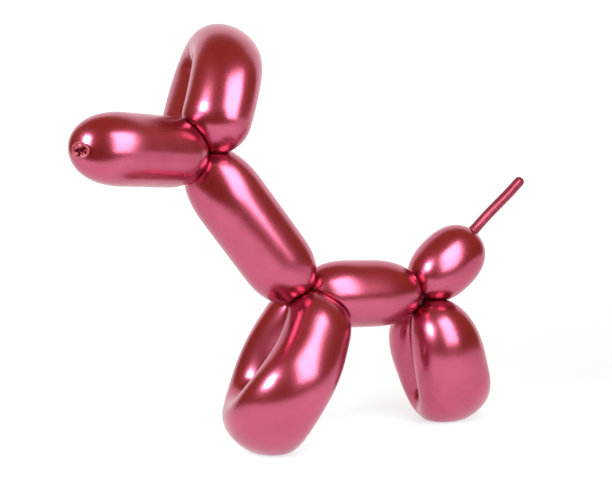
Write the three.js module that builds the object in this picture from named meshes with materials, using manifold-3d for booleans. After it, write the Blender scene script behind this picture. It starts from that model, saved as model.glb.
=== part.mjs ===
// Balloon poodle: one long balloon, twisted and folded into a standing dog.
// Lengths are in millimetres and angles in degrees. The snout points to -X, the dog's left side
// faces -Y, and the soles rest on Z = 0 under the middle of the dog's own outline.

import * as THREE from "three";
import { mergeVertices } from "three/addons/utils/BufferGeometryUtils.js";
import Module from "manifold-3d";

// Stance
const shoulderHeight = 101.5;
const soleFlattening = 3.5;

// Neck, from the shoulder twist up to the head twist
const neckLength = 121.5;
const neckDiameter = 48;
const neckHeadDome = 35;
const neckShoulderDome = 28;
const neckRiseAngle = 54;

// Snout, from the head twist forward to the tied end
const snoutLength = 102.5;
const snoutDiameter = 45;
const snoutTipDome = 32;
const snoutRootDome = 24;
const snoutTurnAngle = 25;
const snoutRiseAngle = 4.5;

// Knot and rolled nozzle on the snout's round end, beside and below its very tip
const knotDiameter = 8;
const nozzleDiameter = 12;
const nozzleThickness = 2.2;
const nozzleStandOff = 3;
const nozzleSideways = 5;
const nozzleDrop = 2;

// Ear loop, one bubble folded in a U above the head twist. Of each loop, bend depth is measured in
// the plane of the U and bend width across it, swing turns the bend about the loop's own axis, and
// bow shifts it across the dog.
const earReach = 75.2;
const earLimbDiameter = 44.6;
const earBendDepth = 46.4;
const earBendWidth = 47;
const earLimbSpacing = 32;
const earBendSpacing = 43.8;
const earDome = 20;
const earBow = 8.8;
const earSlantAngle = 24.8;
const earLeanAngle = -9.5;
const earTurnAngle = -1.1;
const earSwingAngle = 8.7;

// Body, from the shoulder twist back to the rump twist
const bodyLength = 92;
const bodyDiameter = 46.5;
const bodyShoulderDome = 32;
const bodyRumpDome = 33;
const bodyDroopAngle = 4.5;

// Front leg loop, one bubble folded in a U below the shoulder
const frontLimbDiameter = 45.5;
const frontBendDepth = 37.4;
const frontBendWidth = 54;
const frontLimbSpacing = 18;
const frontBendSpacing = 60;
const frontDome = 20;
const frontBow = -1;
const frontSlantAngle = -31.4;
const frontLeanAngle = 3.6;
const frontTurnAngle = -6.5;
const frontSwingAngle = -23.5;
const frontSetBack = 15;

// Rear leg loop, one bubble folded in a U below the rump
const rearLimbDiameter = 52;
const rearBendDepth = 35.2;
const rearBendWidth = 54.6;
const rearLimbSpacing = 27.4;
const rearBendSpacing = 35;
const rearDome = 42.7;
const rearBow = 1.4;
const rearSlantAngle = 18.1;
const rearLeanAngle = -2.3;
const rearTurnAngle = -7.6;
const rearSwingAngle = -20.8;
const rearSetBack = 4;
const rearDrop = 5;

// Tail bubble and the limp end of the balloon beyond it
const tailLength = 61.5;
const tailDiameter = 45;
const tailRootDome = 31.5;
const tailTipDome = 30;
const tailRiseAngle = 38;
const tailTurnAngle = 4;
const tailEndLength = 56;
const tailEndDiameter = 8;
const tailEndRaise = 3.3;
const tailEndRiseAngle = 40.4;

// Twists and the seam where the two limbs of a loop press together
const twistDiameter = 14;
const limbGap = 1;

// Fineness of the faceted surface
const roundSteps = 24;
const domeSteps = 7;
const bendSteps = 12;
const longestRow = 14;

const wasm = await Module();
wasm.setup();

// How much wider a faceted ring is drawn so that its flats, not its corners, lie on the round skin.
const circumscribed = 1 / Math.cos(Math.PI / roundSteps);

function radians(degrees) {
  return THREE.MathUtils.degToRad(degrees);
}

// Unit vector that rises from the level and turns from +X toward +Y.
function heading(turn, rise) {
  const level = Math.cos(radians(rise));
  return new THREE.Vector3(
    level * Math.cos(radians(turn)),
    level * Math.sin(radians(turn)),
    Math.sin(radians(rise)),
  );
}

// Unit vector near the vertical: upward is 1 or -1, slant leans it to +X, lean to -Y.
function upright(upward, slant, lean) {
  const level = Math.cos(radians(lean));
  return new THREE.Vector3(
    level * Math.sin(radians(slant)),
    -Math.sin(radians(lean)),
    upward * level * Math.cos(radians(slant)),
  );
}

function along(start, direction, distance) {
  return start.clone().addScaledVector(direction, distance);
}

// Matrix that stands a shape on start with its Y axis on direction and its Z axis across the dog.
function standing(start, direction, turn = 0) {
  const across = new THREE.Vector3(0, 1, 0).projectOnPlane(direction).normalize();
  across.applyAxisAngle(direction, radians(turn));
  const foreAft = new THREE.Vector3().crossVectors(direction, across);
  return new THREE.Matrix4().makeBasis(foreAft, direction, across).setPosition(start);
}

// Rows along a bubble: close together on its round ends, wider apart between them.
function rowsAlong(length, startDome, endDome) {
  const squeeze = Math.min(1, length / (startDome + endDome));
  const rows = [];
  for (let i = 0; i < domeSteps; i++) {
    rows.push(startDome * squeeze * (1 - Math.cos((i / domeSteps) * (Math.PI / 2))));
  }
  const start = startDome * squeeze;
  const straight = length - start - endDome * squeeze;
  const steps = Math.ceil(straight / longestRow);
  for (let i = 0; i < steps; i++) {
    rows.push(start + (straight * i) / steps);
  }
  for (let i = domeSteps; i >= 0; i--) {
    rows.push(length - endDome * squeeze * (1 - Math.cos((i / domeSteps) * (Math.PI / 2))));
  }
  return rows;
}

// How full a bubble is at a row: 0 at its pinched ends, 1 from the end of each dome on.
function fullness(row, length, startDome, endDome) {
  const squeeze = Math.min(1, length / (startDome + endDome));
  const fromStart = row / (startDome * squeeze);
  const fromEnd = (length - row) / (endDome * squeeze);
  const inward = Math.min(fromStart, fromEnd, 1);
  return Math.sqrt(Math.max(0, 1 - (1 - inward) ** 2));
}

function bubble(length, diameter, startDome, endDome) {
  const radius = (circumscribed * diameter) / 2;
  const profile = rowsAlong(length, startDome, endDome).map(
    (row) => new THREE.Vector2(radius * fullness(row, length, startDome, endDome), row),
  );
  return new THREE.LatheGeometry(profile, roundSteps);
}

// One bubble folded in a U: two limbs side by side, pressed flat on each other where they meet,
// and a half-round bend at the far end. Both pinched ends lie at the origin, the bend on +Y.
function foldedBubble(reach, loop) {
  const { limbDiameter, bendDepth, bendWidth, limbSpacing, bendSpacing, dome } = loop;
  const offset = bendSpacing / 2;
  const limb = reach - offset;
  const length = 2 * limb + Math.PI * offset;
  const limbRows = rowsAlong(limb * 2, dome, dome).filter((row) => row < limb - 1);
  const rows = [...limbRows];
  for (let i = 0; i <= bendSteps; i++) {
    rows.push(limb + (Math.PI * offset * i) / bendSteps);
  }
  rows.push(...limbRows.map((row) => length - row).reverse());

  const { lerp, smoothstep, clamp } = THREE.MathUtils;
  const folded = new THREE.LatheGeometry(
    rows.map((row) => new THREE.Vector2(1, row)),
    roundSteps,
  );
  const position = folded.getAttribute("position");
  for (let i = 0; i < position.count; i++) {
    const row = position.getY(i);
    const nearest = Math.min(row, length - row);
    const full = fullness(nearest, limb * 2, dome, dome);
    const bending = smoothstep(nearest, 0, length / 2);
    const depth = (circumscribed * full * lerp(limbDiameter, bendDepth, bending)) / 2;
    const width = (circumscribed * full * lerp(limbDiameter, bendWidth, bending)) / 2;
    const spacing = lerp(limbSpacing, bendSpacing, smoothstep(nearest, 0, limb));
    const inBend = row > limb && row < length - limb;
    const shift = inBend ? offset : (full * spacing) / 2;
    const fromMiddle = Math.max(shift + depth * position.getX(i), limbGap / 2);
    const angle = clamp((row - limb) / offset, 0, Math.PI);
    const height = Math.min(nearest, limb) + (inBend ? fromMiddle * Math.sin(angle) : 0);
    const bow = loop.bow * Math.min(height / limb, 2) ** 2;
    const swing = radians(loop.swingAngle) * smoothstep(height, 0, reach);
    const point = new THREE.Vector2(
      width * position.getZ(i),
      bow - fromMiddle * Math.cos(angle),
    ).rotateAround(new THREE.Vector2(), swing);
    position.setXYZ(i, point.x, height, point.y);
  }
  return folded;
}

// A leg loop, as long as it takes to press its sole on the floor.
function standingLoop(start, direction, turn, loop) {
  const place = standing(start, direction, turn);
  let reach = start.z;
  for (let i = 0; i < 5; i++) {
    const leg = foldedBubble(reach, loop).applyMatrix4(place);
    leg.computeBoundingBox();
    reach += (leg.boundingBox.min.z + soleFlattening) / Math.abs(direction.z);
  }
  return solid(foldedBubble(reach, loop), place);
}

function solid(geometry, matrix) {
  const bare = geometry.clone();
  bare.deleteAttribute("normal");
  bare.deleteAttribute("uv");
  bare.applyMatrix4(matrix);
  const merged = mergeVertices(bare, 1e-3);
  const corners = merged.index.array;
  const triVerts = [];
  for (let i = 0; i < corners.length; i += 3) {
    const [a, b, c] = corners.slice(i, i + 3);
    if (a !== b && b !== c && c !== a) {
      triVerts.push(a, b, c);
    }
  }
  return new wasm.Manifold(
    new wasm.Mesh({
      numProp: 3,
      vertProperties: merged.getAttribute("position").array,
      triVerts: new Uint32Array(triVerts),
    }),
  );
}

// Twists
const shoulder = new THREE.Vector3(0, 0, shoulderHeight);
const head = along(shoulder, heading(180, neckRiseAngle), neckLength);
const rump = along(shoulder, heading(0, -bodyDroopAngle), bodyLength);
const frontTwist = shoulder.clone().add(new THREE.Vector3(frontSetBack, 0, 0));
const rearTwist = rump.clone().add(new THREE.Vector3(rearSetBack, 0, -rearDrop));
const twist = new THREE.SphereGeometry(twistDiameter / 2, 16, 10);
const twists = [shoulder, head, rump].map((place) =>
  solid(twist, new THREE.Matrix4().setPosition(place)),
);

function straightBubbles() {
  const snoutWay = heading(180 + snoutTurnAngle, snoutRiseAngle);
  return [
    solid(
      bubble(neckLength, neckDiameter, neckShoulderDome, neckHeadDome),
      standing(shoulder, heading(180, neckRiseAngle)),
    ),
    solid(
      bubble(snoutLength, snoutDiameter, snoutRootDome, snoutTipDome),
      standing(head, snoutWay),
    ),
    solid(
      bubble(bodyLength, bodyDiameter, bodyShoulderDome, bodyRumpDome),
      standing(shoulder, heading(0, -bodyDroopAngle)),
    ),
    solid(
      bubble(tailLength, tailDiameter, tailRootDome, tailTipDome),
      standing(rump, heading(-tailTurnAngle, tailRiseAngle)),
    ),
  ];
}

function earLoop() {
  const ears = foldedBubble(earReach, {
    limbDiameter: earLimbDiameter,
    bendDepth: earBendDepth,
    bendWidth: earBendWidth,
    limbSpacing: earLimbSpacing,
    bendSpacing: earBendSpacing,
    dome: earDome,
    bow: earBow,
    swingAngle: earSwingAngle,
  });
  return solid(ears, standing(head, upright(1, earSlantAngle, earLeanAngle), earTurnAngle));
}

function frontLegLoop() {
  const down = upright(-1, frontSlantAngle, frontLeanAngle);
  return standingLoop(frontTwist, down, frontTurnAngle, {
    limbDiameter: frontLimbDiameter,
    bendDepth: frontBendDepth,
    bendWidth: frontBendWidth,
    limbSpacing: frontLimbSpacing,
    bendSpacing: frontBendSpacing,
    dome: frontDome,
    bow: frontBow,
    swingAngle: frontSwingAngle,
  });
}

function rearLegLoop() {
  const down = upright(-1, rearSlantAngle, rearLeanAngle);
  return standingLoop(rearTwist, down, rearTurnAngle, {
    limbDiameter: rearLimbDiameter,
    bendDepth: rearBendDepth,
    bendWidth: rearBendWidth,
    limbSpacing: rearLimbSpacing,
    bendSpacing: rearBendSpacing,
    dome: rearDome,
    bow: rearBow,
    swingAngle: rearSwingAngle,
  });
}

// The knot sits on the round end of the snout and widens to the rolled nozzle ring.
function tiedEnd() {
  const snoutWay = heading(180 + snoutTurnAngle, snoutRiseAngle);
  const outward = heading(snoutTurnAngle - 90, 0);
  const upward = new THREE.Vector3().crossVectors(snoutWay, outward);
  const shift = along(outward.clone().multiplyScalar(nozzleSideways), upward, -nozzleDrop);
  const share = shift.length() / (snoutDiameter / 2);
  const inward = Math.sqrt(1 - share ** 2);
  const seat = along(head, snoutWay, snoutLength - snoutTipDome * (1 - inward)).add(shift);
  const facing = shift
    .clone()
    .setLength((share * 2) / snoutDiameter)
    .addScaledVector(snoutWay, inward / snoutTipDome)
    .normalize();
  const knot = new THREE.SphereGeometry(knotDiameter / 2, 16, 10);
  const ring = new THREE.TorusGeometry(
    (nozzleDiameter - nozzleThickness) / 2,
    nozzleThickness / 2,
    8,
    roundSteps,
  );
  ring.rotateX(Math.PI / 2);
  const funnel = new THREE.CylinderGeometry(
    (nozzleDiameter - nozzleThickness) / 2,
    knotDiameter / 2,
    nozzleStandOff,
    roundSteps,
  );
  funnel.translate(0, nozzleStandOff / 2, 0);
  return [
    solid(knot, standing(seat, facing)),
    solid(funnel, standing(seat, facing)),
    solid(ring, standing(along(seat, facing, nozzleStandOff), facing)),
  ];
}

// The limp end is a thin straight tube, round at its tip. It leaves the tail bubble a little above
// the bubble's own axis.
function tailEnd() {
  const bubbleEnd = along(rump, heading(-tailTurnAngle, tailRiseAngle), tailLength);
  const root = along(bubbleEnd, heading(-tailTurnAngle, tailRiseAngle + 90), tailEndRaise);
  const inside = along(root, heading(-tailTurnAngle, tailEndRiseAngle), -tailEndDiameter);
  const length = tailEndLength + tailEndDiameter - tailEndDiameter / 2;
  const rod = new THREE.CylinderGeometry(tailEndDiameter / 2, tailEndDiameter / 2, length, 16, 4);
  rod.translate(0, length / 2, 0);
  const tip = new THREE.SphereGeometry(tailEndDiameter / 2, 16, 10).translate(0, length, 0);
  const place = standing(inside, heading(-tailTurnAngle, tailEndRiseAngle));
  return [solid(rod, place), solid(tip, place)];
}

// Everything below the floor is pressed away, which leaves the two flat soles.
function floorBlock(shape) {
  const bounds = shape.boundingBox();
  const size = Math.max(...bounds.max.map((high, i) => high - bounds.min[i])) * 2;
  const block = new THREE.BoxGeometry(size, size, size);
  return solid(block, new THREE.Matrix4().makeTranslation(0, 0, -size / 2));
}

function balloonPoodle() {
  const forms = [
    ...straightBubbles(),
    earLoop(),
    frontLegLoop(),
    rearLegLoop(),
    ...tiedEnd(),
    ...tailEnd(),
    ...twists,
  ];
  const joined = forms.reduce((whole, form) => whole.add(form));
  const dog = joined.subtract(floorBlock(joined)).getMesh();
  const geometry = new THREE.BufferGeometry();
  geometry.setAttribute("position", new THREE.BufferAttribute(dog.vertProperties, 3));
  geometry.setIndex(new THREE.BufferAttribute(dog.triVerts, 1));
  geometry.computeBoundingBox();
  const centre = geometry.boundingBox.getCenter(new THREE.Vector3());
  geometry.translate(-centre.x, -centre.y, 0);
  geometry.computeVertexNormals();
  const latex = new THREE.MeshStandardMaterial({
    color: 0xb23a5c,
    roughness: 0.22,
    metalness: 1,
  });
  const mesh = new THREE.Mesh(geometry, latex);
  mesh.name = "balloon_poodle";
  return mesh;
}

const model = new THREE.Group();
model.name = "balloon_poodle_model";
model.add(balloonPoodle());

export default model;
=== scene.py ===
"""Balloon poodle: one long metallic latex balloon, twisted and folded into a standing dog.

The whole inflated skin is one closed tube that runs from the snout to the tail bubble: snout, ear
loop, neck, front leg loop, body, rear leg loop and tail bubble, pinched to a thin strand at every
twist. Where bubbles press on each other, both give way to a shared wall. The tied nozzle and the
limp end of the balloon are pieces of their own. Lengths are in metres and angles in degrees.
"""

import math

import bpy
import numpy as np
from mathutils import Matrix, Vector
from mathutils.bvhtree import BVHTree


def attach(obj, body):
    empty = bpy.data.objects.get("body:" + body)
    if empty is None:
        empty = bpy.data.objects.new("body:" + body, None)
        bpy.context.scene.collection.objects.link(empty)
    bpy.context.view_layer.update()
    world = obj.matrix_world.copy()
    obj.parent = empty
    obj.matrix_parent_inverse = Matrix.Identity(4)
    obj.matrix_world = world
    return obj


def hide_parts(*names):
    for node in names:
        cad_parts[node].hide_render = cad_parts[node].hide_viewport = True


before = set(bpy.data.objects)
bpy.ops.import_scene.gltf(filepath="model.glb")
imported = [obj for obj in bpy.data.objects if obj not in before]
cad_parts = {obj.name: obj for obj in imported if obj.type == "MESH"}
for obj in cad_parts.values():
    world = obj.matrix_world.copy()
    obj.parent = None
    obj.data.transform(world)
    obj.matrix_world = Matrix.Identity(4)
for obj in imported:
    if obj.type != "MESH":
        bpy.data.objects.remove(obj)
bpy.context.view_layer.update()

# Place of the shoulder twist in the part's frame
SHOULDER = np.array([-0.00685, -0.00635, 0.1015])

# Straight bubbles: length, diameter, the lengths of the two round ends and the direction
NECK_LENGTH, NECK_DIAMETER = 0.1215, 0.048
NECK_SHOULDER_DOME, NECK_HEAD_DOME = 0.028, 0.035
NECK_RISE = 54
SNOUT_LENGTH, SNOUT_DIAMETER = 0.1025, 0.045
SNOUT_ROOT_DOME, SNOUT_TIP_DOME = 0.024, 0.032
SNOUT_TURN, SNOUT_RISE = 25, 4.5
BODY_LENGTH, BODY_DIAMETER = 0.092, 0.0465
BODY_SHOULDER_DOME, BODY_RUMP_DOME = 0.032, 0.033
BODY_DROOP = 4.5
TAIL_LENGTH, TAIL_DIAMETER = 0.0615, 0.045
TAIL_ROOT_DOME, TAIL_TIP_DOME = 0.0315, 0.030
TAIL_RISE, TAIL_TURN = 38, 4

# Folded bubbles: diameter of the limbs, depth and width of the bend, spacing of the limbs near the
# twist and at the bend, length of the round ends, swing of the bend about the loop's axis and bow
# across the dog; the ear's reach is measured from the twist to the middle of the bend
EAR_LOOP = {
    "reach": 0.0750, "limb": 0.0446, "bend_depth": 0.0464, "bend_width": 0.0470,
    "limb_spacing": 0.0320, "bend_spacing": 0.0438, "dome": 0.0200, "swing": 8.7, "bow": 0.0086,
}
EAR_SLANT, EAR_LEAN, EAR_TURN = 24.8, -9.5, -1.1
FRONT_LOOP = {
    "limb": 0.0455, "bend_depth": 0.0374, "bend_width": 0.0540,
    "limb_spacing": 0.0180, "bend_spacing": 0.0600, "dome": 0.0200, "swing": -23.5, "bow": -0.0010,
}
FRONT_SLANT, FRONT_LEAN, FRONT_TURN = -31.4, 3.6, -6.5
FRONT_SET_BACK = 0.015
REAR_LOOP = {
    "limb": 0.0520, "bend_depth": 0.0352, "bend_width": 0.0546,
    "limb_spacing": 0.0274, "bend_spacing": 0.0350, "dome": 0.0427, "swing": -20.8, "bow": 0.0014,
}
REAR_SLANT, REAR_LEAN, REAR_TURN = 18.1, -2.3, -7.6
REAR_SET_BACK, REAR_DROP = 0.004, 0.005
SOLE_FLATTENING = 0.0035

# Limp end of the balloon beyond the tail bubble: its size, its direction, how far above the
# bubble's axis it leaves, power of its round tip, and height and length of the collar at its root
TAIL_END_LENGTH, TAIL_END_DIAMETER = 0.0555, 0.0074
TAIL_END_RISE, TAIL_END_RAISE = 40.4, 0.0033
TAIL_TIP_ROUNDNESS = 2.6
COLLAR_RISE, COLLAR_LENGTH = 0.10, 0.0025

# Knot and rolled nozzle on the snout's round end, a little to the dog's left of its tip; below the
# given share of its depth the membrane is painted darker, painted shade for its deep hollows
KNOT_DIAMETER, KNOT_SINK = 0.0076, 0.0010
NOZZLE_WIDTH, NOZZLE_HEIGHT, LIP_THICKNESS = 0.0120, 0.0102, 0.0015
NOZZLE_STAND_OFF, MEMBRANE_DEPTH, PAINTED_SHADE_SHARE = 0.0030, 0.0018, 0.55
NOZZLE_SIDEWAYS, NOZZLE_DROP = 0.005, 0.002

# Round ends: superellipse power, how much longer they are drawn, and the share of them after
# which the bubble's core begins
ROUNDNESS = 2.3
DOME_STRETCH = 1.16
CORE_START = 0.8

# Contacts: softness of their edges, half the slit between the limbs of a loop and radius of the
# twisted strands
CONTACT_SOFTNESS = 0.0014
LIMB_SOFTNESS = 0.0035
FLOOR_SOFTNESS = 0.0015
HALF_SLIT = 0.0002
STRAND_RADIUS = 0.0018

# Gathers at the twists: depth, the radii at which they are full and have faded out, and for each
# wave its number around the twist, its height and how far a bubble's phase turns it
GATHER_DEPTH, GATHER_START, GATHER_END = 0.00022, 0.003, 0.015
GATHER_WAVES = (13, 1.0, 1.0), (21, 0.6, 2.1), (34, 0.5, 3.7)

# Fineness of the skin, the tail end and the nozzle
AROUND = 128
DOME_ROWS = 24
BEND_ROWS = 56
ROW_STEP = 0.0025
TAIL_END_AROUND = 64
NOZZLE_AROUND = 160

# Latex: pale and deep shade of each mottled surface
SKIN_SHADES = (0.52, 0.092, 0.163), (0.47, 0.080, 0.145)
LIP_SHADES = (0.46, 0.080, 0.110), (0.30, 0.042, 0.068)
# Painted shade: near-black red laid on the deep hollows of the membrane inside the nozzle
PAINTED_HOLLOW_SHADE = (0.16, 0.008, 0.018), (0.06, 0.003, 0.007)
TAIL_END_SHADES = (0.38, 0.060, 0.100), (0.28, 0.040, 0.070)

# White sweep under and behind the dog, and the colours of the dim room and of the soft lights
FLOOR_FRONT, FLOOR_DEPTH, FLOOR_SIDE = 0.30, 1.3, 1.6
FLOOR_CURVE, BACKDROP_HEIGHT = 0.45, 1.9
NEAR_GLOW, FAR_GLOW = 0.73, 0.94
ROOM_SHADES = (0.36, 0.125, 0.050), (0.47, 0.19, 0.080)
ROOM_BRIGHT_ABOVE = 0.6
SOFTBOX_COLOUR = (0.75, 0.98, 1.0)

# Camera at the photograph's viewing angle
CAMERA_AZIMUTH, CAMERA_ELEVATION, CAMERA_ROLL = -26.92, 5.55, -2.02
CAMERA_DISTANCE, CAMERA_LENS = 0.8604, 74.95
CAMERA_TARGET = SHOULDER + np.array([0.0049, 0.0, 0.0333])


def radians(degrees):
    return math.radians(degrees)


def unit(vector):
    return vector / np.linalg.norm(vector)


def heading(turn, rise):
    """Unit vector that rises from the level and turns from +X toward +Y."""
    level = math.cos(radians(rise))
    return np.array([
        level * math.cos(radians(turn)),
        level * math.sin(radians(turn)),
        math.sin(radians(rise)),
    ])


def upright(upward, slant, lean):
    """Unit vector near the vertical: slant leans it to +X, lean to -Y."""
    level = math.cos(radians(lean))
    return np.array([
        level * math.sin(radians(slant)),
        -math.sin(radians(lean)),
        upward * level * math.cos(radians(slant)),
    ])


def standing(direction, turn=0):
    """Rows fore-aft, along and across of a frame whose second axis is direction."""
    across = np.array([0.0, 1.0, 0.0])
    across = unit(across - direction * (across @ direction))
    turned = Matrix.Rotation(radians(turn), 3, Vector(direction)) @ Vector(across)
    across = np.array(turned)
    return np.array([np.cross(direction, across), direction, across])


def between(first, second, share):
    return first + (second - first) * share


def smoothstep(value):
    value = np.clip(value, 0, 1)
    return value * value * (3 - 2 * value)


def soft_floor(value, softness):
    """max(value, 0) with a rounded corner."""
    rounded = (value + softness) ** 2 / (4 * softness)
    return np.where(value > softness, value, np.where(value < -softness, 0, rounded))


def drawn_domes(length, start_dome, end_dome):
    """Lengths of a bubble's two round ends as drawn, shortened where they would overlap."""
    start, end = start_dome * DOME_STRETCH, end_dome * DOME_STRETCH
    squeeze = min(1, length / (start + end))
    return start * squeeze, end * squeeze


def dome_rows(length, start_dome, end_dome):
    """Rows along a bubble, close together on its round ends."""
    start, end = drawn_domes(length, start_dome, end_dome)
    angles = np.linspace(0.02, math.pi / 2, DOME_ROWS)
    dome = 1 - np.cos(angles) ** (2 / ROUNDNESS)
    middle = length - start - end
    steps = max(1, math.ceil(middle / ROW_STEP))
    straight = start + middle * np.arange(1, steps) / steps
    rows = np.concatenate([start * dome, straight, (length - end * dome)[::-1]])
    keep = np.concatenate([[True], np.diff(rows) > 1e-5])
    return rows[keep]


def fullness(row, length, start_dome, end_dome):
    """Share of the full radius at a row: almost 0 at the twists and 1 between the round ends."""
    start, end = drawn_domes(length, start_dome, end_dome)
    inward = np.clip(np.minimum(row / start, (length - row) / end), 0, 1)
    return (1 - (1 - inward) ** ROUNDNESS) ** (1 / ROUNDNESS)


def angles_around(count):
    return np.arange(count) * 2 * math.pi / count


def gathered(radius, angle, phase):
    """Height of the fine gathers that swirl from a twist out over the round end."""
    swirl = angle + 0.35 * np.log(np.maximum(radius, 0.001) / 0.004)
    wave = sum(
        height * np.sin(number * swirl + shift * phase)
        for number, height, shift in GATHER_WAVES
    )
    fading = smoothstep((GATHER_END - radius) / (GATHER_END - GATHER_START))
    return GATHER_DEPTH * wave * fading * smoothstep(radius / GATHER_START)


class Bubble:
    """One stack of rings from twist to twist, with the core point that each ring shrinks to."""

    def __init__(self, name, rings, cores):
        self.name = name
        self.rings = rings
        self.cores = cores

    def tree(self):
        points, faces = tube_mesh(self.rings)
        return BVHTree.FromPolygons([Vector(p) for p in points], faces)


def tube_mesh(rings):
    """Points and faces of a closed tube through a stack of rings."""
    rings = np.asarray(rings)
    rows, around = rings.shape[:2]
    points = [*rings.reshape(-1, 3), rings[0].mean(0), rings[-1].mean(0)]
    first_cap, last_cap = len(points) - 2, len(points) - 1
    faces = []
    for i in range(rows - 1):
        here, there = i * around, (i + 1) * around
        for j in range(around):
            k = (j + 1) % around
            faces.append((here + j, here + k, there + k, there + j))
    last_ring = (rows - 1) * around
    for j in range(around):
        k = (j + 1) % around
        faces.append((first_cap, k, j))
        faces.append((last_cap, last_ring + j, last_ring + k))
    return points, faces


def straight_bubble(name, start, direction, length, diameter, start_dome, end_dome, phase,
                    start_gathers=1.0):
    """A round bubble along direction; start_gathers is how strong the gathers at its start are."""
    rows = dome_rows(length, start_dome, end_dome)
    radius = diameter / 2 * fullness(rows, length, start_dome, end_dome)
    angle = angles_around(AROUND)
    strength = np.where(rows < length / 2, start_gathers, 1.0)
    gathers = gathered(radius[:, None], angle[None, :], phase)
    width = radius[:, None] + strength[:, None] * gathers
    axes = standing(direction)
    local = np.stack([
        width * np.sin(angle),
        np.repeat(rows[:, None], AROUND, axis=1),
        width * np.cos(angle),
    ], axis=-1)
    first_core = CORE_START * min(start_dome, length / 2)
    last_core = length - CORE_START * min(end_dome, length / 2)
    core_rows = np.clip(rows, first_core, last_core)
    cores = start + core_rows[:, None] * direction
    return Bubble(name, start + local @ axes, cores)


def folded_bubble(name, start, direction, turn, loop, phase):
    """One bubble folded in a U, its two limbs pressed flat on each other where they meet."""
    offset = loop["bend_spacing"] / 2
    limb = loop["reach"] - offset
    length = 2 * limb + math.pi * offset
    limb_rows = dome_rows(2 * limb, loop["dome"], loop["dome"])
    limb_rows = limb_rows[limb_rows < limb - 0.001]
    bend = limb + math.pi * offset * np.arange(BEND_ROWS + 1) / BEND_ROWS
    rows = np.concatenate([limb_rows, bend, (length - limb_rows)[::-1]])

    nearest = np.minimum(rows, length - rows)
    full = fullness(nearest, 2 * limb, loop["dome"], loop["dome"])
    bending = smoothstep(nearest / (length / 2))
    depth = full * between(loop["limb"], loop["bend_depth"], bending) / 2
    width = full * between(loop["limb"], loop["bend_width"], bending) / 2
    fold = np.clip((rows - limb) / offset, 0, math.pi)
    in_bend = (rows > limb) & (rows < length - limb)
    spacing = between(loop["limb_spacing"], loop["bend_spacing"], smoothstep(nearest / limb))
    shift = np.where(in_bend, offset, full * spacing / 2)

    angle = angles_around(AROUND)
    gathers = gathered(width[:, None], angle[None, :], phase)
    from_middle = shift[:, None] + (depth[:, None] + gathers) * np.sin(angle)
    from_middle = HALF_SLIT + soft_floor(from_middle, LIMB_SOFTNESS)
    lifted = np.where(in_bend[:, None], from_middle * np.sin(fold)[:, None], 0)
    skin = np.stack([
        (width[:, None] + gathers) * np.cos(angle),
        np.minimum(nearest, limb)[:, None] + lifted,
        -from_middle * np.cos(fold)[:, None],
    ], axis=-1)
    core_height = np.clip(nearest, loop["dome"], limb) + np.where(in_bend, offset * np.sin(fold), 0)
    cores = np.stack([np.zeros(len(rows)), core_height, -offset * np.cos(fold)], axis=-1)
    axes = standing(direction, turn)
    skin, cores = (start + bent(points, limb, loop) @ axes for points in (skin, cores))
    return Bubble(name, skin, cores)


def bent(points, limb, loop):
    """Bows a loop across the dog and swings its bend about the loop's own axis."""
    fore_aft, height, across = np.moveaxis(points, -1, 0)
    across = across + loop["bow"] * np.clip(height / limb, 0, 2) ** 2
    swing = radians(loop["swing"]) * smoothstep(height / loop["reach"])
    cos, sin = np.cos(swing), np.sin(swing)
    return np.stack([fore_aft * cos - across * sin, height, fore_aft * sin + across * cos], axis=-1)


def standing_loop(name, start, direction, turn, loop, phase):
    """A leg loop, as long as it takes to press its sole on the floor."""
    loop = dict(loop, reach=start[2])
    for _ in range(5):
        leg = folded_bubble(name, start, direction, turn, loop, phase)
        above_floor = leg.rings[..., 2].min() + SOLE_FLATTENING
        loop["reach"] += above_floor / abs(direction[2])
    return folded_bubble(name, start, direction, turn, loop, phase)


# Twists
HEAD = SHOULDER + NECK_LENGTH * heading(180, NECK_RISE)
RUMP = SHOULDER + BODY_LENGTH * heading(0, -BODY_DROOP)
FRONT_TWIST = SHOULDER + np.array([FRONT_SET_BACK, 0, 0])
REAR_TWIST = RUMP + np.array([REAR_SET_BACK, 0, -REAR_DROP])
SNOUT_WAY = heading(180 + SNOUT_TURN, SNOUT_RISE)
TAIL_WAY = heading(-TAIL_TURN, TAIL_RISE)


def make_bubbles():
    """The seven bubbles in the order in which the balloon runs, snout first."""
    snout_tip = HEAD + SNOUT_LENGTH * SNOUT_WAY
    return [
        straight_bubble("snout", snout_tip, -SNOUT_WAY, SNOUT_LENGTH, SNOUT_DIAMETER,
                        SNOUT_TIP_DOME, SNOUT_ROOT_DOME, 1.0, start_gathers=0.2),
        folded_bubble("ear", HEAD, upright(1, EAR_SLANT, EAR_LEAN), EAR_TURN, EAR_LOOP, 2.0),
        straight_bubble("neck", HEAD, -heading(180, NECK_RISE), NECK_LENGTH, NECK_DIAMETER,
                        NECK_HEAD_DOME, NECK_SHOULDER_DOME, 3.0),
        standing_loop("front", FRONT_TWIST, upright(-1, FRONT_SLANT, FRONT_LEAN), FRONT_TURN,
                      FRONT_LOOP, 4.0),
        straight_bubble("body", SHOULDER, heading(0, -BODY_DROOP), BODY_LENGTH, BODY_DIAMETER,
                        BODY_SHOULDER_DOME, BODY_RUMP_DOME, 5.0),
        standing_loop("rear", REAR_TWIST, upright(-1, REAR_SLANT, REAR_LEAN), REAR_TURN,
                      REAR_LOOP, 6.0),
        straight_bubble("tail", RUMP, TAIL_WAY, TAIL_LENGTH, TAIL_DIAMETER,
                        TAIL_ROOT_DOME, TAIL_TIP_DOME, 7.0),
    ]


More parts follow.
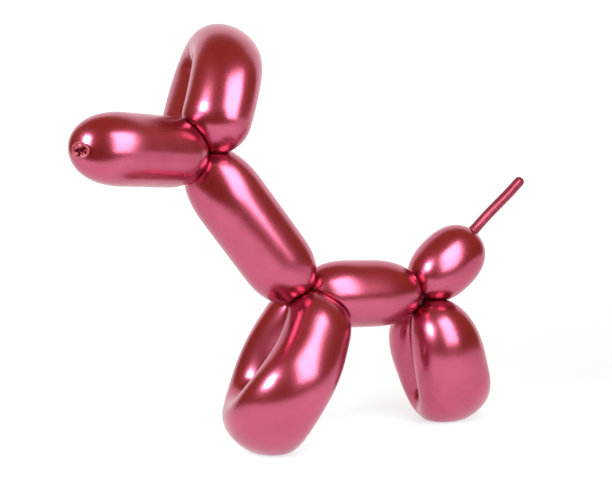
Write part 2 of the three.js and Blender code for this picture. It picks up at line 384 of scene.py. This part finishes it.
# Bubbles that touch, and how firmly each keeps its own round shape against the others
TOUCHING = {
    "snout": ("ear", "neck"),
    "ear": ("snout", "neck"),
    "neck": ("snout", "ear", "front", "body"),
    "front": ("neck", "body"),
    "body": ("neck", "front", "rear", "tail"),
    "rear": ("body", "tail"),
    "tail": ("body", "rear"),
}
FIRMNESS = {
    "snout": 3.0, "ear": 1.0, "neck": 1.0, "front": 2.0, "body": 1.0, "rear": 1.5, "tail": 1.0,
}


def signed_distance(tree, point):
    """Distance from a bubble's skin, negative inside it."""
    place, normal, _, distance = tree.find_nearest(point)
    return distance if (point - place).dot(normal) > 0 else -distance


def give_way(own, other, point, core, firmness):
    """How far a skin point moves toward its core, so that both skins end on a shared wall.

    The wall lies nearer to the skin of the firmer bubble; firmness is the own over the other's.
    """
    near = signed_distance(other, point)
    if near > CONTACT_SOFTNESS:
        return 0.0
    inward = (core - point).normalized()

    def difference(step):
        place = point + inward * step
        return signed_distance(other, place) - firmness * signed_distance(own, place)

    probe = 0.001
    slope = (difference(probe) - near) / probe
    give = 2 / (1 + firmness) / min(max(slope, 0.7), 2)
    wall = 0.0
    if near < 0:
        low, high = 0.0, (core - point).length
        for _ in range(9):
            middle = (low + high) / 2
            if difference(middle) < 0:
                low = middle
            else:
                high = middle
        wall = (low + high) / 2
    lip = max(0.0, CONTACT_SOFTNESS - abs(near)) ** 2 / (4 * CONTACT_SOFTNESS)
    return wall + give * lip


def step_back(bubble, place, core, trees, boxes):
    """How far a skin point moves toward its core to make room for all the bubbles that touch."""
    step = 0.0
    for name in TOUCHING[bubble.name]:
        low, high = boxes[name]
        if (place > low).all() and (place < high).all():
            firmness = FIRMNESS[bubble.name] / FIRMNESS[name]
            give = give_way(trees[bubble.name], trees[name], Vector(place), core, firmness)
            step = max(step, give)
    return step


def press_together(bubbles):
    """Moves the skins of touching bubbles back to their shared walls."""
    trees = {b.name: b.tree() for b in bubbles}
    boxes = {
        b.name: (b.rings.min((0, 1)) - CONTACT_SOFTNESS, b.rings.max((0, 1)) + CONTACT_SOFTNESS)
        for b in bubbles
    }
    for b in bubbles:
        moved = b.rings.copy()
        for i, ring in enumerate(b.rings):
            for j, place in enumerate(ring):
                step = step_back(b, place, Vector(b.cores[i]), trees, boxes)
                if step > 0:
                    toward = b.cores[i] - place
                    reach = np.linalg.norm(toward)
                    moved[i, j] = place + toward / reach * min(step, 0.9 * reach)
        b.rings = moved


def strand_ring(before, after, place):
    """Thin ring at a twist, between the last ring of one bubble and the first of the next."""
    def spokes(ring):
        arms = ring - ring.mean(0)
        return arms / np.linalg.norm(arms, axis=1)[:, None]

    arms = spokes(before) + spokes(after)
    arms /= np.maximum(np.linalg.norm(arms, axis=1)[:, None], 1e-6)
    return place + STRAND_RADIUS * arms


def line_up(rings, before):
    """Turns a stack about its axis so that its first ring starts where the ring before it does."""
    arms = before - before.mean(0)
    own = rings[0] - rings[0].mean(0)
    scores = [np.sum(arms * np.roll(own, -k, axis=0)) for k in range(len(own))]
    return np.roll(rings, -int(np.argmax(scores)), axis=1)


def mesh_object(name, points, faces, materials):
    mesh = bpy.data.meshes.new(name)
    mesh.from_pydata([tuple(p) for p in points], [], faces)
    mesh.polygons.foreach_set("use_smooth", [True] * len(mesh.polygons))
    for material in materials:
        mesh.materials.append(material)
    piece = bpy.data.objects.new(name, mesh)
    bpy.context.scene.collection.objects.link(piece)
    return piece


def make_skin(material):
    bubbles = make_bubbles()
    press_together(bubbles)
    places = [HEAD, HEAD, SHOULDER, FRONT_TWIST, RUMP, REAR_TWIST]
    rings = list(bubbles[0].rings)
    for place, b in zip(places, bubbles[1:]):
        stack = line_up(b.rings, rings[-1])
        rings.append(strand_ring(rings[-1], stack[0], place))
        rings.extend(stack)
    rings = np.array(rings)
    rings[..., 2] = soft_floor(rings[..., 2], FLOOR_SOFTNESS)
    return mesh_object("balloon_skin", *tube_mesh(rings), [material])


def sides_along(path):
    """Two unit vectors across a smooth path at each of its points."""
    tangents = np.gradient(path, axis=0)
    tangents /= np.linalg.norm(tangents, axis=1)[:, None]
    side = np.cross(tangents, [0.0, 1.0, 0.0])
    side /= np.linalg.norm(side, axis=1)[:, None]
    return side, np.cross(tangents, side)


def make_tail_end(material):
    """The thin, straight end of the balloon that was never blown up, round at its tip."""
    bubble_end = RUMP + TAIL_LENGTH * TAIL_WAY
    root = bubble_end + TAIL_END_RAISE * heading(-TAIL_TURN, TAIL_RISE + 90)
    way = heading(-TAIL_TURN, TAIL_END_RISE)
    radius = TAIL_END_DIAMETER / 2
    tip_start = TAIL_END_LENGTH - radius
    rows = np.linspace(-TAIL_END_DIAMETER, tip_start, 90)
    rows = np.concatenate([rows, tip_start + radius * np.sin(np.linspace(0.08, 1.5, 12))])
    sway = 0.0003 * np.sin(rows * 2 * math.pi / TAIL_END_LENGTH)
    path = root + rows[:, None] * way + sway[:, None] * heading(-TAIL_TURN, TAIL_END_RISE + 90)
    tip = np.clip((rows - tip_start) / radius, 0, 0.9975)
    width = radius * (1 - tip ** TAIL_TIP_ROUNDNESS) ** (1 / TAIL_TIP_ROUNDNESS)
    collar = 1 + COLLAR_RISE * np.exp(-((rows + 0.0005) / COLLAR_LENGTH) ** 2)

    angle = angles_around(TAIL_END_AROUND)
    root_fading = np.exp(-np.maximum(rows, 0) / 0.012)
    creases = 0.00007 * np.sin(7 * angle + 0.8)[None, :] * root_fading[:, None]
    creases += 0.00006 * np.sin(3 * angle[None, :] + 90 * rows[:, None])
    spread = (width * collar)[:, None] + creases * (width / radius)[:, None]
    side, level = sides_along(path)
    rings = (path[:, None, :] + spread[..., None] * (
        np.cos(angle)[None, :, None] * side[:, None, :]
        + np.sin(angle)[None, :, None] * level[:, None, :]))
    return mesh_object("limp_tail_end", *tube_mesh(rings), [material])


def nozzle_seat():
    """Where the nozzle sits on the snout's round end, and the frame of the skin there."""
    outward = heading(SNOUT_TURN - 90, 0)
    upward = np.cross(SNOUT_WAY, outward)
    shift = NOZZLE_SIDEWAYS * outward - NOZZLE_DROP * upward
    share = np.linalg.norm(shift) / (SNOUT_DIAMETER / 2)
    dome = SNOUT_TIP_DOME * DOME_STRETCH
    inward = (1 - share ** ROUNDNESS) ** (1 / ROUNDNESS)
    place = HEAD + (SNOUT_LENGTH - dome * (1 - inward)) * SNOUT_WAY + shift
    slope_out = share ** (ROUNDNESS - 1) / (SNOUT_DIAMETER / 2)
    slope_along = inward ** (ROUNDNESS - 1) / dome
    normal = unit(slope_out * unit(shift) + slope_along * SNOUT_WAY)
    sideways = unit(outward - normal * (outward @ normal))
    return place, np.array([sideways, normal, np.cross(normal, sideways)])


def bulge(right, up, place, size, tilt, power=2):
    """A soft patch of height 1, tilted by tilt degrees; a higher power makes its edge steeper."""
    right, up = right - place[0], up - place[1]
    cos, sin = math.cos(radians(tilt)), math.sin(radians(tilt))
    along, across = right * cos + up * sin, up * cos - right * sin
    return np.exp(-np.abs(along / size[0]) ** power - np.abs(across / size[1]) ** power)


def membrane(right, up):
    """Depth of the crumpled membrane inside the lip, over a disc of radius 1."""
    upper_flap = 1.15 * bulge(right, up, (-0.28, 0.72), (0.95, 0.50), 16, 6)
    lower_flap = 1.00 * bulge(right, up, (-0.76, -0.50), (0.40, 0.36), -35, 4)
    ridge = 0.65 * bulge(right, up, (0.20, -0.34), (0.50, 0.10), -4)
    low_floor = 0.35 * bulge(right, up, (0.25, -0.72), (0.60, 0.30), 0, 4)
    puckers = 0.12 * np.sin(9 * right + 4 * up) * np.sin(7 * up - 3 * right + 1)
    return -1 + upper_flap + lower_flap + ridge + low_floor + puckers


def nozzle_profile(lip, middle):
    """Radius and height of the nozzle's rows, in a list for each part from the knot inward."""
    knot = [
        (KNOT_DIAMETER / 2 * math.cos(a), KNOT_DIAMETER / 2 * math.sin(a) - KNOT_SINK)
        for a in np.linspace(-0.45, 0.12, 8) * math.pi
    ]
    knot_edge, knot_top = knot[-1]
    collar = [
        (between(knot_edge, middle - lip, t), between(knot_top, NOZZLE_STAND_OFF - lip, t * t))
        for t in (0.4, 0.7, 0.95)
    ]
    lip_profile = [
        (middle + lip * math.cos(a), NOZZLE_STAND_OFF + lip * math.sin(a))
        for a in np.linspace(-0.6, 0.95, 28) * math.pi
    ]
    inside = [((middle - lip) * (1 - t), NOZZLE_STAND_OFF) for t in np.linspace(0.03, 0.99, 44)]
    return knot + collar, lip_profile, inside


def make_nozzle(material, painted_shade_material):
    """The knot, the rolled lip of the balloon and the crumpled membrane inside the lip."""
    seat, axes = nozzle_seat()
    lip = LIP_THICKNESS / 2
    middle = NOZZLE_WIDTH / 2 - lip
    outside, lip_profile, inside = nozzle_profile(lip, middle)
    profile = np.array(outside + lip_profile + inside)

    # An oval of uneven height and thickness
    angle = angles_around(NOZZLE_AROUND)
    rise = NOZZLE_HEIGHT / NOZZLE_WIDTH
    oval = 1 / np.sqrt(np.sin(angle) ** 2 + (np.cos(angle) / rise) ** 2)
    wobble = 1 + 0.030 * np.sin(3 * angle + 2.2) + 0.012 * np.sin(5 * angle)
    spread = profile[:, 0][:, None] * (oval * wobble)[None, :]
    side, up = spread * np.sin(angle), spread * np.cos(angle)
    height = np.repeat(profile[:, 1][:, None], len(angle), axis=1)
    share = profile[:, 0][:, None] / (middle - lip)
    height += 0.0004 * np.sin(2 * angle + 2.0) * smoothstep(share)
    thick = 1 + 0.22 * np.sin(2 * angle + 0.4) + 0.12 * np.sin(5 * angle + 1.0)
    first_inside = len(outside) + len(lip_profile)
    lip_rows = slice(len(outside), first_inside)
    height[lip_rows] = NOZZLE_STAND_OFF + (height[lip_rows] - NOZZLE_STAND_OFF) * thick

    # The membrane inside the lip
    flat_side = side[first_inside:] / (middle - lip)
    flat_up = up[first_inside:] / (middle - lip) / rise
    within = smoothstep((1 - share[first_inside:]) / 0.14)
    height[first_inside:] += within * MEMBRANE_DEPTH * membrane(flat_side, flat_up)

    local = np.stack([side, height, up], axis=-1)
    rings = (seat + local @ axes)[::-1]
    nozzle = mesh_object("tied_nozzle", *tube_mesh(rings), [material, painted_shade_material])

    # Painted shade: the membrane's faces below the given depth get the dark second material; its
    # faces come first
    deep = NOZZLE_STAND_OFF - PAINTED_SHADE_SHARE * MEMBRANE_DEPTH
    for face in nozzle.data.polygons[:(len(inside) - 1) * len(angle)]:
        if (np.array(face.center) - seat) @ axes[1] < deep:
            face.material_index = 1
    return nozzle


def nodes_of(material):
    material.use_nodes = True
    tree = material.node_tree
    tree.nodes.clear()
    output = tree.nodes.new("ShaderNodeOutputMaterial")
    shader = tree.nodes.new("ShaderNodeBsdfPrincipled")
    tree.links.new(shader.outputs["BSDF"], output.inputs["Surface"])
    return tree, shader


def noise(tree, scale, detail, source):
    texture = tree.nodes.new("ShaderNodeTexNoise")
    texture.inputs["Scale"].default_value = scale
    texture.inputs["Detail"].default_value = detail
    tree.links.new(source, texture.inputs["Vector"])
    return texture


def mapped(tree, source, low, high, start=0.3, end=0.7):
    """The span from start to end spread from low to high; a noise lies between 0.3 and 0.7."""
    node = tree.nodes.new("ShaderNodeMapRange")
    node.inputs["From Min"].default_value = start
    node.inputs["From Max"].default_value = end
    node.inputs["To Min"].default_value = low
    node.inputs["To Max"].default_value = high
    tree.links.new(source, node.inputs["Value"])
    return node.outputs["Result"]


def mixed(tree, factor, colours):
    node = tree.nodes.new("ShaderNodeMix")
    node.data_type = "RGBA"
    node.inputs["A"].default_value = (*colours[0], 1)
    node.inputs["B"].default_value = (*colours[1], 1)
    tree.links.new(factor, node.inputs["Factor"])
    return node.outputs["Result"]


def bump(tree, source, strength, distance):
    node = tree.nodes.new("ShaderNodeBump")
    node.inputs["Strength"].default_value = strength
    node.inputs["Distance"].default_value = distance
    tree.links.new(source, node.inputs["Height"])
    return node.outputs["Normal"]


def metallic_latex():
    """Inflated skin: smooth pearly metal with broad, faint mottling."""
    material = bpy.data.materials.new("metallic_latex")
    tree, shader = nodes_of(material)
    place = tree.nodes.new("ShaderNodeTexCoord").outputs["Object"]
    broad = noise(tree, 60, 3, place)
    pearl = noise(tree, 2600, 2, place)
    share = mapped(tree, broad.outputs["Fac"], 0, 1)
    colour = mixed(tree, share, SKIN_SHADES)
    tree.links.new(colour, shader.inputs["Base Color"])
    tree.links.new(mapped(tree, broad.outputs["Fac"], 0.24, 0.29), shader.inputs["Roughness"])
    tree.links.new(bump(tree, pearl.outputs["Fac"], 0.12, 0.0001), shader.inputs["Normal"])
    shader.inputs["Metallic"].default_value = 1.0
    shader.inputs["Coat Weight"].default_value = 0.15
    shader.inputs["Coat Roughness"].default_value = 0.10
    return material


def limp_latex(name, shades, metallic):
    """Latex that was never stretched: duller than the inflated skin."""
    material = bpy.data.materials.new(name)
    tree, shader = nodes_of(material)
    place = tree.nodes.new("ShaderNodeTexCoord").outputs["Object"]
    broad = noise(tree, 260, 3, place)
    fine = noise(tree, 1500, 3, place)
    share = mapped(tree, broad.outputs["Fac"], 0, 1)
    colour = mixed(tree, share, shades)
    tree.links.new(colour, shader.inputs["Base Color"])
    tree.links.new(mapped(tree, fine.outputs["Fac"], 0.34, 0.46), shader.inputs["Roughness"])
    tree.links.new(bump(tree, fine.outputs["Fac"], 0.4, 0.0002), shader.inputs["Normal"])
    shader.inputs["Metallic"].default_value = metallic
    return material


def make_floor():
    """White sheet that lies under the dog, glows and sweeps up behind it, and ends in front of it."""
    material = bpy.data.materials.new("white_sweep")
    tree, shader = nodes_of(material)
    place = tree.nodes.new("ShaderNodeTexCoord").outputs["Object"]
    grain = noise(tree, 12, 2, place)
    colour = mixed(tree, grain.outputs["Fac"], ((0.37, 0.37, 0.38), (0.35, 0.35, 0.36)))
    tree.links.new(colour, shader.inputs["Base Color"])
    distance = tree.nodes.new("ShaderNodeVectorMath")
    distance.operation = "LENGTH"
    tree.links.new(place, distance.inputs[0])
    glow = mapped(tree, distance.outputs["Value"], NEAR_GLOW, FAR_GLOW, FLOOR_FRONT, FLOOR_DEPTH)
    tree.links.new(glow, shader.inputs["Emission Strength"])
    shader.inputs["Emission Color"].default_value = (0.93, 0.98, 1.0, 1)
    shader.inputs["Roughness"].default_value = 0.9
    curve = np.linspace(0, math.pi / 2, 25)
    start = FLOOR_DEPTH - FLOOR_CURVE
    profile = [(-FLOOR_FRONT, 0)]
    profile += [(start + FLOOR_CURVE * math.sin(a), FLOOR_CURVE * (1 - math.cos(a))) for a in curve]
    profile += [(FLOOR_DEPTH, BACKDROP_HEIGHT)]
    turn = Matrix.Rotation(radians(CAMERA_AZIMUTH), 3, "Z")
    points = [turn @ Vector((side, y, z)) for y, z in profile for side in (-FLOOR_SIDE, FLOOR_SIDE)]
    faces = [(2 * i, 2 * i + 1, 2 * i + 3, 2 * i + 2) for i in range(len(profile) - 1)]
    floor = mesh_object("floor", points, faces, [material])


def aim(azimuth, elevation):
    """Unit vector from the dog toward a place in the studio, azimuth 0 on the dog's left side."""
    level = math.cos(radians(elevation))
    return Vector((
        math.sin(radians(azimuth)) * level,
        -math.cos(radians(azimuth)) * level,
        math.sin(radians(elevation)),
    ))


def make_softbox(name, place, width, height, low_radiance, high_radiance):
    """Soft light at a place measured from the shoulder, which it faces, in two halves."""
    place = Vector(place)
    back = place.normalized()
    turn = back.to_track_quat("Z", "Y")
    for half, radiance in ((-1, low_radiance), (1, high_radiance)):
        light = bpy.data.lights.new(name, "AREA")
        light.shape = "RECTANGLE"
        light.size = width
        light.size_y = height / 2
        light.energy = radiance * math.pi * width * height / 2
        light.color = SOFTBOX_COLOUR
        lamp = bpy.data.objects.new(name, light)
        bpy.context.scene.collection.objects.link(lamp)
        upward = turn @ Vector((0, half * height / 4, 0))
        lamp.location = Vector(SHOULDER) + place + upward
        lamp.rotation_mode = "QUATERNION"
        lamp.rotation_quaternion = turn
        lamp.visible_camera = False


def make_studio():
    """Dim warm room, brighter overhead than at the dog's level, and pale to the camera itself."""
    world = bpy.data.worlds.new("studio")
    bpy.context.scene.world = world
    world.use_nodes = True
    tree = world.node_tree
    tree.nodes.clear()
    output = tree.nodes.new("ShaderNodeOutputWorld")
    room = tree.nodes.new("ShaderNodeBackground")
    seen = tree.nodes.new("ShaderNodeBackground")
    choose = tree.nodes.new("ShaderNodeMixShader")
    path = tree.nodes.new("ShaderNodeLightPath")
    way = tree.nodes.new("ShaderNodeSeparateXYZ")
    tree.links.new(tree.nodes.new("ShaderNodeTexCoord").outputs["Generated"], way.inputs[0])
    height = mapped(tree, way.outputs["Z"], 0, 1, start=0, end=ROOM_BRIGHT_ABOVE)
    tree.links.new(mixed(tree, height, ROOM_SHADES), room.inputs["Color"])
    seen.inputs["Color"].default_value = (0.95, 0.95, 0.95, 1)
    tree.links.new(path.outputs["Is Camera Ray"], choose.inputs["Fac"])
    tree.links.new(room.outputs["Background"], choose.inputs[1])
    tree.links.new(seen.outputs["Background"], choose.inputs[2])
    tree.links.new(choose.outputs["Shader"], output.inputs["Surface"])


def make_camera():
    camera = bpy.data.objects.new("camera", bpy.data.cameras.new("camera"))
    bpy.context.scene.collection.objects.link(camera)
    back = aim(CAMERA_AZIMUTH, CAMERA_ELEVATION)
    right = (-back).cross(Vector((0, 0, 1))).normalized()
    up = right.cross(-back)
    roll = radians(CAMERA_ROLL)
    right, up = (
        right * math.cos(roll) + up * math.sin(roll),
        up * math.cos(roll) - right * math.sin(roll),
    )
    place = Vector(CAMERA_TARGET) + back * CAMERA_DISTANCE
    camera.matrix_world = Matrix((right, up, back)).transposed().to_4x4()
    camera.location = place
    camera.data.lens = CAMERA_LENS
    camera.data.clip_start = 0.01
    bpy.context.scene.camera = camera


skin_latex = metallic_latex()
lip_latex = limp_latex("lip_latex", LIP_SHADES, 0.35)
# Painted shade: dark latex for the deep hollows of the nozzle's membrane
painted_shade_latex = limp_latex("painted_shade_latex", PAINTED_HOLLOW_SHADE, 0.95)
end_latex = limp_latex("end_latex", TAIL_END_SHADES, 0.85)
pieces = [make_skin(skin_latex), make_nozzle(lip_latex, painted_shade_latex), make_tail_end(end_latex)]
for piece in pieces:
    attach(piece, "root")
    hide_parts("balloon_poodle")

make_floor()
make_softbox("front_softbox", (0.056, -0.276, 0.172), width=0.22, height=0.34,
             low_radiance=6.5, high_radiance=7.6)
make_softbox("head_softbox", (-0.630, -0.210, 0.375), width=0.25, height=0.27,
             low_radiance=30.0, high_radiance=30.0)
make_studio()
make_camera()
bpy.context.scene.view_settings.view_transform = "Standard"
